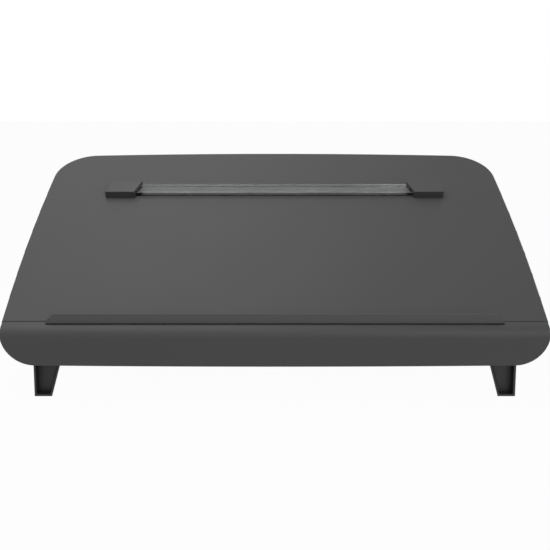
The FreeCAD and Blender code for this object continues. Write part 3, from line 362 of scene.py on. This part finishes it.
class Bench:
    """The bench on which new pieces are modelled by hand, one at a time."""

    @staticmethod
    def clear() -> None:
        """Deselect everything."""
        bpy.ops.object.select_all(action="DESELECT")

    @staticmethod
    def take(piece: bpy.types.Object) -> None:
        """Select one piece alone."""
        Bench.clear()
        piece.select_set(True)
        bpy.context.view_layer.objects.active = piece

    @staticmethod
    @contextmanager
    def opened(piece: bpy.types.Object) -> Iterator[None]:
        """Open a piece in edit mode with nothing selected, and close it when done.

        Args:
            piece: The piece to open.
        """
        Bench.take(piece)
        bpy.ops.object.mode_set(mode="EDIT")
        bpy.ops.mesh.select_all(action="DESELECT")
        yield
        bpy.ops.object.mode_set(mode="OBJECT")

    @staticmethod
    def rod(name: str, radius: float, low: float, high: float, sides: int = 32) -> bpy.types.Object:
        """Start a round piece that stands on its end.

        Args:
            name: The piece's name.
            radius: Its radius.
            low: The height of its lower end.
            high: The height of its upper end.
            sides: How many sides it has.

        Returns:
            The started piece.
        """
        Bench.clear()
        bpy.ops.mesh.primitive_cylinder_add(vertices=sides, radius=radius, depth=high - low,
                                            location=(0, 0, (low + high) / 2))
        return Bench.settled(name)

    @staticmethod
    def block(name: str, low: Iterable[float], high: Iterable[float]) -> bpy.types.Object:
        """Start a square piece.

        Args:
            name: The piece's name.
            low: Its lowest corner.
            high: Its highest corner.

        Returns:
            The started piece.
        """
        Bench.clear()
        first, last = Vector(low), Vector(high)
        bpy.ops.mesh.primitive_cube_add(size=1, location=(first + last) / 2, scale=last - first)
        return Bench.settled(name)

    @staticmethod
    def settled(name: str) -> bpy.types.Object:
        """Name the new piece and put its place into its mesh."""
        piece = bpy.context.object
        piece.name = name
        piece.data.name = name
        bpy.ops.object.transform_apply(location=True, rotation=True, scale=True)
        return piece

    @staticmethod
    def pick(piece: bpy.types.Object, kind: str, test: Callable[[Vector, Vector], bool]) -> None:
        """Select the faces or edges of an opened piece that pass a test.

        Args:
            piece: The opened piece.
            kind: FACE or EDGE.
            test: Told a face's middle and normal, or an edge's two ends.
        """
        bpy.ops.mesh.select_mode(type=kind)
        bpy.ops.mesh.select_all(action="DESELECT")
        mesh = bmesh.from_edit_mesh(piece.data)
        if kind == "FACE":
            for face in mesh.faces:
                face.select_set(test(face.calc_center_median(), face.normal))
        else:
            for edge in mesh.edges:
                if test(edge.verts[0].co, edge.verts[1].co):
                    edge.select_set(True)
        bmesh.update_edit_mesh(piece.data)

    @staticmethod
    def pick_end(piece: bpy.types.Object, height: float) -> None:
        """Select the flat faces at a height, those that look up or down."""
        Bench.pick(piece, "FACE", lambda middle, normal: abs(middle.z - height) < MATCH
                   and abs(normal.z) > 0.9)

    @staticmethod
    def pick_rim(piece: bpy.types.Object, height: float) -> None:
        """Select the edges that lie at a height."""
        Bench.pick(piece, "EDGE", lambda start, end: abs(start.z - height) < MATCH
                   and abs(end.z - height) < MATCH)

    @staticmethod
    def pick_long(piece: bpy.types.Object, y: float, z: float) -> None:
        """Select the edges that run across the piece at a depth and a height."""
        Bench.pick(piece, "EDGE", lambda start, end: all(abs(point.y - y) < MATCH and abs(point.z - z) < MATCH
                                                         for point in (start, end)))

    @staticmethod
    def pull(rise: float, share: float = 1.0) -> None:
        """Extrude the selected faces up or down and narrow what was pulled.

        Args:
            rise: How far up.
            share: The width of the new end, as a share of the old one, about the upright axis.
        """
        bpy.ops.mesh.extrude_region_move(TRANSFORM_OT_translate={"value": (0, 0, rise)})
        if share != 1.0:
            bpy.ops.transform.resize(value=(share, share, 1), center_override=(0, 0, 0))

    @staticmethod
    def round_edges(width: float, steps: int = 3) -> None:
        """Round the selected edges over."""
        bpy.ops.mesh.bevel(offset=width, segments=steps, profile=0.5, affect="EDGES", clamp_overlap=True)

    @staticmethod
    def combine(piece: bpy.types.Object, tool: bpy.types.Object, operation: str) -> None:
        """Cut a piece with a tool, or keep what both share, and put the tool away.

        Args:
            piece: The piece.
            tool: The tool.
            operation: DIFFERENCE or INTERSECT.
        """
        Bench.take(piece)
        modifier = piece.modifiers.new("cut", "BOOLEAN")
        modifier.operation = operation
        modifier.solver = "EXACT"
        modifier.object = tool
        bpy.ops.object.modifier_apply(modifier=modifier.name)
        bpy.data.objects.remove(tool)

    @staticmethod
    def smooth(piece: bpy.types.Object, angle: float = 35.0) -> None:
        """Shade a piece smooth across its shallow edges."""
        Bench.take(piece)
        bpy.ops.object.shade_smooth_by_angle(angle=math.radians(angle))

    @staticmethod
    def copies(name: str, piece: bpy.types.Object, places: Iterable[Matrix]) -> bpy.types.Object:
        """Set a copy of a piece at each place, join them and put the pattern away.

        Args:
            name: The name of the joined piece.
            piece: The pattern, modelled about the origin.
            places: Where each copy goes.

        Returns:
            The joined piece.
        """
        made = []
        for place in places:
            copy = piece.copy()
            copy.data = piece.data.copy()
            bpy.context.scene.collection.objects.link(copy)
            copy.matrix_world = place
            made.append(copy)
        bpy.data.objects.remove(piece)
        Bench.take(made[0])
        for copy in made:
            copy.select_set(True)
        bpy.ops.object.transform_apply(location=True, rotation=True, scale=True)
        if len(made) > 1:
            bpy.ops.object.join()
        return Bench.settled(name)


@dataclass
class Screw:
    """A pan-head screw with a cross recess: its head stands on the XY plane and its shank hangs below."""

    radius: float
    head_radius: float
    head: float
    reach: float
    pitch: float = 1.0 * MM
    thread_depth: float = 0.25 * MM
    recess_depth: float = 0.62

    def build(self, name: str) -> bpy.types.Object:
        """Model the screw.

        Args:
            name: Its name.

        Returns:
            The finished screw.
        """
        screw = Bench.rod(name, self.head_radius, 0, self.head)
        with Bench.opened(screw):
            Bench.pick_rim(screw, self.head)
            Bench.round_edges(0.62 * self.head, 5)
            Bench.pick_end(screw, 0)
            bpy.ops.mesh.inset(thickness=self.head_radius - self.radius + self.thread_depth, depth=0)
            self.cut_thread()
        for turn in (0, 90):
            Bench.combine(screw, self.blade(turn), "DIFFERENCE")
        Bench.smooth(screw)
        return screw

    def cut_thread(self) -> None:
        """Pull the shank down from the selected face in turns of thread, ending in a short taper."""
        core = self.radius - self.thread_depth
        swell = self.radius / core
        turns = int((self.reach - self.pitch) / self.pitch)
        rest = self.reach - self.pitch * turns
        Bench.pull(-0.4 * rest)
        for _ in range(turns):
            Bench.pull(-0.35 * self.pitch, swell)
            Bench.pull(-0.1 * self.pitch)
            Bench.pull(-0.35 * self.pitch, 1 / swell)
            Bench.pull(-0.2 * self.pitch)
        Bench.pull(-0.6 * rest, 0.7)

    def blade(self, turn: float) -> bpy.types.Object:
        """Model one blade of the driver that cuts the cross recess.

        Args:
            turn: Its turn about the screw's axis, in degrees.

        Returns:
            The blade.
        """
        half, thick = 0.52 * self.head_radius, 0.11 * self.head_radius
        low = self.head * (1 - self.recess_depth)
        blade = Bench.block("blade", (-half, -thick, low), (half, thick, self.head * 1.3))
        with Bench.opened(blade):
            Bench.pick_end(blade, low)
            bpy.ops.transform.resize(value=(0.45, 0.7, 1), center_override=(0, 0, 0))
        blade.matrix_world = Matrix.Rotation(math.radians(turn), 4, "Z")
        Bench.take(blade)
        bpy.ops.object.transform_apply(location=True, rotation=True, scale=True)
        return blade


@dataclass
class Nut:
    """A hexagon nut whose corners are turned off at both ends, about the origin, its axis upright."""

    radius: float = 4.04 * MM
    height: float = 3.2 * MM
    bore: float = 2.1 * MM
    corner_drop: float = 0.35 * MM
    corner_set: float = 0.56 * MM

    def build(self, name: str) -> bpy.types.Object:
        """Model the nut.

        Args:
            name: Its name.

        Returns:
            The finished nut.
        """
        nut = Bench.rod(name, self.radius, -self.height / 2, self.height / 2, sides=6)
        Bench.combine(nut, self.turned_blank(), "INTERSECT")
        Bench.combine(nut, self.tap(), "DIFFERENCE")
        Bench.smooth(nut, 25)
        return nut

    def turned_blank(self) -> bpy.types.Object:
        """Model the turned disc that the hexagon is milled from."""
        face = self.height / 2
        blank = Bench.rod("blank", self.radius * 1.001, self.corner_drop - face, face - self.corner_drop,
                          sides=48)
        share = (self.radius - self.corner_set) / self.radius
        with Bench.opened(blank):
            for sign in (1, -1):
                Bench.pick_end(blank, sign * (face - self.corner_drop))
                Bench.pull(sign * self.corner_drop, share)
        return blank

    def tap(self) -> bpy.types.Object:
        """Model the tap that cuts the bore, its thread and its countersinks."""
        pitch, depth = 0.7 * MM, 0.22 * MM
        half = self.height / 2
        tap = Bench.rod("tap", self.bore + depth, half - 0.1 * MM, half + 1 * MM, sides=24)
        share = self.bore / (self.bore + depth)
        turns = int((self.height - 0.6 * MM) / pitch)
        with Bench.opened(tap):
            Bench.pick_end(tap, half - 0.1 * MM)
            Bench.pull(-0.2 * MM, share)
            for _ in range(turns):
                Bench.pull(-0.35 * pitch, 1 / share)
                Bench.pull(-0.15 * pitch)
                Bench.pull(-0.35 * pitch, share)
                Bench.pull(-0.15 * pitch)
            Bench.pull(-0.2 * MM, 1 / share)
            Bench.pull(-1.2 * MM)
        return tap


@dataclass
class Rivet:
    """A blind rivet: a domed flange above the XY plane and a swollen tail below the sheets."""

    radius: float = 1.6 * MM
    head_radius: float = 3 * MM
    head: float = 0.9 * MM
    grip: float = 2.4 * MM
    tail_radius: float = 2.3 * MM
    tail: float = 0.9 * MM

    def build(self, name: str) -> bpy.types.Object:
        """Model the rivet.

        Args:
            name: Its name.

        Returns:
            The finished rivet.
        """
        rivet = Bench.rod(name, self.head_radius, 0, self.head)
        with Bench.opened(rivet):
            Bench.pick_rim(rivet, self.head)
            Bench.round_edges(0.75 * self.head, 4)
            Bench.pick_end(rivet, self.head)
            bpy.ops.mesh.inset(thickness=self.head_radius - 0.75 * self.head - 0.9 * MM, depth=0)
            Bench.pull(-0.35 * MM, 0.95)
            Bench.pick_end(rivet, 0)
            bpy.ops.mesh.inset(thickness=self.head_radius - self.radius, depth=0)
            Bench.pull(-self.grip)
            swell = self.tail_radius / self.radius
            Bench.pull(-0.3 * self.tail, swell)
            Bench.pull(-0.4 * self.tail)
            Bench.pull(-0.3 * self.tail, 1 / swell)
        Bench.smooth(rivet)
        return rivet


@dataclass
class Fixings:
    """The screws, nuts and rivets that hold the holder together."""

    paintshop: Paintshop
    leg_x: float = 217.85 * MM
    wall_x: float = 204.5 * MM
    leg_screw_places: tuple[tuple[float, float], ...] = ((-101.41, 41.5), (-101.41, 53.5), (96.59, 41.5),
                                                         (96.59, 53.5))
    leg_stud_ups: tuple[float, ...] = (18.705, 247.34)
    leg_nut_drop: float = 6.1 * MM
    ledge_stud_up: float = 14 * MM
    ledge_stud_pitch: float = 90 * MM
    ledge_nut_drop: float = 4.9 * MM
    rivet_x: float = 201 * MM
    rivet_ys: tuple[float, ...] = (-82.41, -7.41, 67.59)
    rivet_top: float = 71.2 * MM
    front_screw_xs: tuple[float, ...] = (-180, -60, 60, 180)
    front_screw_place: tuple[float, float] = (-120.657, 47.606)

    def build(self) -> None:
        """Model every set of fixings."""
        self.fit_ledge_nuts()
        self.fit_leg_nuts()
        self.fit_leg_screws()
        self.fit_front_screws()
        self.fit_rivets()

    def fit_ledge_nuts(self) -> None:
        """Set the five nuts that hold the page ledge."""
        up, drop = self.ledge_stud_up, -self.ledge_nut_drop
        places = [DECK @ Matrix.Translation((step * self.ledge_stud_pitch, up, drop))
                  for step in range(-2, 3)]
        nuts = Bench.copies("ledge_nut_set", Nut().build("ledge_nut"), places)
        self.paintshop.fit(nuts, "stand", "fastener_steel", "ledge_nuts")

    def fit_leg_nuts(self) -> None:
        """Set the four nuts that hold the deck on the legs."""
        places = [DECK @ Matrix.Translation((side.value * self.leg_x, up * MM, -self.leg_nut_drop))
                  for side in Side for up in self.leg_stud_ups]
        nuts = Bench.copies("leg_nut_set", Nut().build("leg_nut"), places)
        self.paintshop.fit(nuts, "stand", "fastener_steel", "leg_nuts")

    def fit_leg_screws(self) -> None:
        """Set the eight screws that join the drawer housing to the legs."""
        places = [Matrix.Translation((side.value * self.wall_x, y * MM, z * MM))
                  @ Matrix.Rotation(math.radians(-90 * side.value), 4, "Y")
                  for side in Side for y, z in self.leg_screw_places]
        screw = Screw(radius=2 * MM, head_radius=3.6 * MM, head=2 * MM, reach=7.1 * MM).build("leg_screw")
        screws = Bench.copies("leg_screw_set", screw, places)
        self.paintshop.fit(screws, "stand", "fastener_steel", "leg_screws")

    def fit_front_screws(self) -> None:
        """Set the four screws that join the tray to the drawer front."""
        y, z = self.front_screw_place
        places = [Matrix.Translation((x * MM, y * MM, z * MM)) @ Matrix.Rotation(math.radians(-90), 4, "X")
                  for x in self.front_screw_xs]
        screw = Screw(radius=1.5 * MM, head_radius=2.9 * MM, head=1.6 * MM, reach=5.4 * MM, pitch=0.9 * MM,
                      thread_depth=0.2 * MM).build("front_screw")
        screws = Bench.copies("drawer_front_screw_set", screw, places)
        self.paintshop.fit(screws, "drawer", "fastener_steel", "drawer_front_screws")

    def fit_rivets(self) -> None:
        """Set the six rivets that hold the housing's cover."""
        places = [Matrix.Translation((side.value * self.rivet_x, y * MM, self.rivet_top))
                  for side in Side for y in self.rivet_ys]
        rivets = Bench.copies("cover_rivet_set", Rivet().build("cover_rivet"), places)
        self.paintshop.fit(rivets, "stand", "fastener_steel", "cover_rivets")


@dataclass
class Foot:
    """A rubber foot let into a leg's sole, with rounded corners and a ribbed tread."""

    paintshop: Paintshop
    side: Side
    row: Row
    thickness: float = 1.5 * MM
    narrowing: float = 6.41 * MM
    corner: float = 1.2 * MM
    tread_margin: float = 1.3 * MM
    ribs: int = 6
    groove: float = 0.35 * MM

    def build(self) -> None:
        """Model the foot and set it under its leg."""
        node = f"{self.side.word}_{self.row.word}_foot"
        low, high = (Vector(corner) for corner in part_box(node))
        foot = Bench.block(f"{node}_pad", low, high)
        inner = low.x if self.side is Side.RIGHT else high.x
        with Bench.opened(foot):
            Bench.pick(foot, "EDGE", lambda start, end: abs(start.z - end.z) > 0.5 * self.thickness
                       and abs(start.x - inner) < MATCH and abs(start.y - high.y) < MATCH)
            bpy.ops.transform.translate(value=(self.side.value * self.narrowing, 0, 0))
            Bench.pick(foot, "EDGE", lambda start, end: abs(start.z - end.z) > 0.5 * self.thickness)
            Bench.round_edges(self.corner, 5)
            Bench.pick_rim(foot, low.z)
            Bench.round_edges(0.25 * MM, 2)
            Bench.pick_end(foot, low.z)
            bpy.ops.mesh.inset(thickness=self.tread_margin, depth=0)
            self.cut_grooves(foot, low, high)
        Bench.smooth(foot)
        self.paintshop.fit(foot, "stand", "foot_rubber", node)

    def cut_grooves(self, foot: bpy.types.Object, low: Vector, high: Vector) -> None:
        """Cut the tread's grooves across the foot.

        Args:
            foot: The opened foot, its tread selected.
            low: Its lowest corner.
            high: Its highest corner.
        """
        start, end = low.y + self.tread_margin, high.y - self.tread_margin
        pitch = (end - start) / (2 * self.ribs + 1)
        inner, outer = sorted((abs(low.x), abs(high.x)))

        def in_tread(middle: Vector, normal: Vector) -> bool:
            """Tell whether a face lies in the tread, inside its margin."""
            edge = inner + self.narrowing * (middle.y - low.y) / (high.y - low.y) + self.tread_margin
            return (normal.z < -0.9 and abs(middle.z - low.z) < MATCH and start < middle.y < end
                    and edge < abs(middle.x) < outer - self.tread_margin)

        for index in range(1, 2 * self.ribs + 1):
            bpy.ops.mesh.bisect(plane_co=(0, start + index * pitch, 0), plane_no=(0, 1, 0))
            Bench.pick(foot, "FACE", in_tread)
        Bench.pick(foot, "FACE", lambda middle, normal: in_tread(middle, normal)
                   and int((middle.y - start) / pitch) % 2 == 1)
        bpy.ops.mesh.extrude_region_move(TRANSFORM_OT_translate={"value": (0, 0, self.groove)})


@dataclass
class GuideBar:
    """The clear bar of the line guide: a solid strip with a raised bead along its rear edge.

    Its sizes run along the deck: across, up the slope from the seam, and off the surface.
    """

    paintshop: Paintshop
    half: float = 170.9 * MM
    front: float = 197.6 * MM
    rear: float = 213.7 * MM
    low: float = 0.6 * MM
    high: float = 5.2 * MM
    bead: float = 4 * MM
    bead_rise: float = 0.6 * MM
    front_round: float = 1.2 * MM
    bead_round: float = 0.5 * MM
    front_steps: int = 8
    bead_steps: int = 6

    def build(self) -> None:
        """Model the bar and set it between the caps."""
        bar = Bench.block("guide_bar_strip", (-self.half, self.front, self.low),
                          (self.half, self.rear, self.high))
        top = self.high + self.bead_rise
        with Bench.opened(bar):
            bpy.ops.mesh.select_all(action="SELECT")
            bpy.ops.mesh.bisect(plane_co=(0, self.rear - self.bead, 0), plane_no=(0, 1, 0))
            Bench.pick(bar, "FACE", lambda middle, normal: normal.z > 0.9
                       and middle.y > self.rear - self.bead)
            Bench.pull(self.bead_rise)
            Bench.pick_long(bar, self.front, self.high)
            Bench.round_edges(self.front_round, self.front_steps)
            Bench.pick_long(bar, self.rear, top)
            Bench.round_edges(self.bead_round, self.bead_steps)
            Bench.pick_long(bar, self.rear - self.bead, top)
            Bench.round_edges(self.bead_round, self.bead_steps)
        bar = Bench.copies("guide_bar_strip", bar, [DECK])
        self.paintshop.fit(bar, "line_guide", "clear_acrylic", "guide_bar")


@dataclass(frozen=True)
class Lamp:
    """A square lamp: where it stands, the point it faces, its side in metres and its power in watts."""

    name: str
    place: tuple[float, float, float]
    target: tuple[float, float, float]
    side: float
    power: float


LAMPS = (
    Lamp("top_lamp", (-0.12, 0.05, 0.65), (-0.12, 0, 0.12), 0.4, 0.5),
    Lamp("side_lamp", (-0.5, 0.0, 0.9), (0, 0, 0.14), 0.6, 0.5),
    Lamp("near_lamp", (-0.22, -0.28, 0.7), (-0.12, -0.04, 0.12), 0.5, 1.3),
    Lamp("front_lamp", (0.8, -1.5, 0.7), (0, -0.1, 0.05), 1.2, 7),
)


@dataclass
class Studio:
    """The floor, the lamps, the surround and the camera."""

    lens: float = 49.5
    camera_place: tuple[float, float, float] = (-0.0037, -0.80577, 0.26539)
    camera_pitch: float = 11.98
    camera_shift: float = 3.97 / 550
    surround: float = 0.12
    floor_share: float = 0.97
    floor_size: float = 60
    floor_shade: float = 0.85

    def build(self) -> None:
        """Make the studio."""
        self.add_camera()
        self.add_surround()
        self.add_floor()
        for lamp in LAMPS:
            self.add_lamp(lamp)

    def add_camera(self) -> None:
        """Make the camera that looks at the holder from the front."""
        turn = (math.radians(90 - self.camera_pitch), 0, 0)
        bpy.ops.object.camera_add(location=self.camera_place, rotation=turn)
        camera = bpy.context.object
        camera.name = "camera"
        camera.data.lens = self.lens
        camera.data.shift_x = self.camera_shift
        camera.data.clip_start = 0.01
        bpy.context.scene.camera = camera

    def add_surround(self) -> None:
        """Make the world: soft grey light, seen as white by the camera, in gloss and through clear pieces."""
        world = bpy.data.worlds.new("surround")
        bpy.context.scene.world = world
        world.use_nodes = True
        nodes, links = world.node_tree.nodes, world.node_tree.links
        paths = nodes.new("ShaderNodeLightPath")
        seen = self.any_of(nodes, links, paths, ("Is Camera Ray", "Is Glossy Ray", "Is Transmission Ray"))
        strength = nodes.new("ShaderNodeMapRange")
        strength.inputs["To Min"].default_value = self.surround
        strength.inputs["To Max"].default_value = 1.0
        links.new(seen, strength.inputs["Value"])
        background = nodes["Background"]
        background.inputs["Color"].default_value = (1, 1, 1, 1)
        links.new(strength.outputs["Result"], background.inputs["Strength"])

    @staticmethod
    def any_of(nodes: bpy.types.Nodes, links: bpy.types.NodeLinks, paths: bpy.types.Node, names: Iterable[str]
               ) -> bpy.types.NodeSocket:
        """Join ray kinds into one switch.

        Args:
            nodes: The tree's nodes.
            links: The tree's links.
            paths: The Light Path node.
            names: The ray kinds.

        Returns:
            The socket that is 1 for any of the kinds.
        """
        found = None
        for name in names:
            if found is None:
                found = paths.outputs[name]
                continue
            larger = nodes.new("ShaderNodeMath")
            larger.operation = "MAXIMUM"
            links.new(found, larger.inputs[0])
            links.new(paths.outputs[name], larger.inputs[1])
            found = larger.outputs["Value"]
        return found

    def add_floor(self) -> None:
        """Make the pale floor, which keeps a soft shadow of the holder."""
        bpy.ops.object.select_all(action="DESELECT")
        bpy.ops.mesh.primitive_plane_add(size=self.floor_size, location=(0, 0, 0))
        floor = bpy.context.object
        floor.name = "floor"
        material = bpy.data.materials.new("pale_floor")
        material.use_nodes = True
        nodes, links = material.node_tree.nodes, material.node_tree.links
        shader = nodes["Principled BSDF"]
        shader.inputs["Base Color"].default_value = (*[self.floor_shade] * 3, 1)
        shader.inputs["Roughness"].default_value = 0.9
        shader.inputs["Specular IOR Level"].default_value = 0.1
        white = nodes.new("ShaderNodeEmission")
        white.inputs["Strength"].default_value = 1.0
        paths = nodes.new("ShaderNodeLightPath")
        seen = self.any_of(nodes, links, paths, ("Is Camera Ray", "Is Glossy Ray", "Is Transmission Ray"))
        share = nodes.new("ShaderNodeMath")
        share.operation = "MULTIPLY"
        share.inputs[1].default_value = self.floor_share
        links.new(seen, share.inputs[0])
        mix = nodes.new("ShaderNodeMixShader")
        links.new(share.outputs["Value"], mix.inputs["Fac"])
        links.new(shader.outputs["BSDF"], mix.inputs[1])
        links.new(white.outputs["Emission"], mix.inputs[2])
        links.new(mix.outputs["Shader"], nodes["Material Output"].inputs["Surface"])
        floor.data.materials.append(material)

    @staticmethod
    def add_lamp(lamp: Lamp) -> None:
        """Add a large soft lamp, turned to the point it faces."""
        bpy.ops.object.light_add(type="AREA", location=lamp.place)
        light = bpy.context.object
        light.name = lamp.name
        light.data.shape = "SQUARE"
        light.data.size = lamp.side
        light.data.energy = lamp.power
        light.rotation_euler = (Vector(lamp.target) - Vector(lamp.place)).to_track_quat("-Z", "Y").to_euler()


def main() -> None:
    """Dress the holder and set up its studio."""
    paintshop = Paintshop(FINISHES)
    paintshop.dress_frame()
    Fixings(paintshop).build()
    for side in Side:
        for row in Row:
            Foot(paintshop, side, row).build()
    GuideBar(paintshop).build()
    Studio().build()
    bpy.context.scene.view_settings.view_transform = "Standard"


if __name__ == "__main__":
    main()
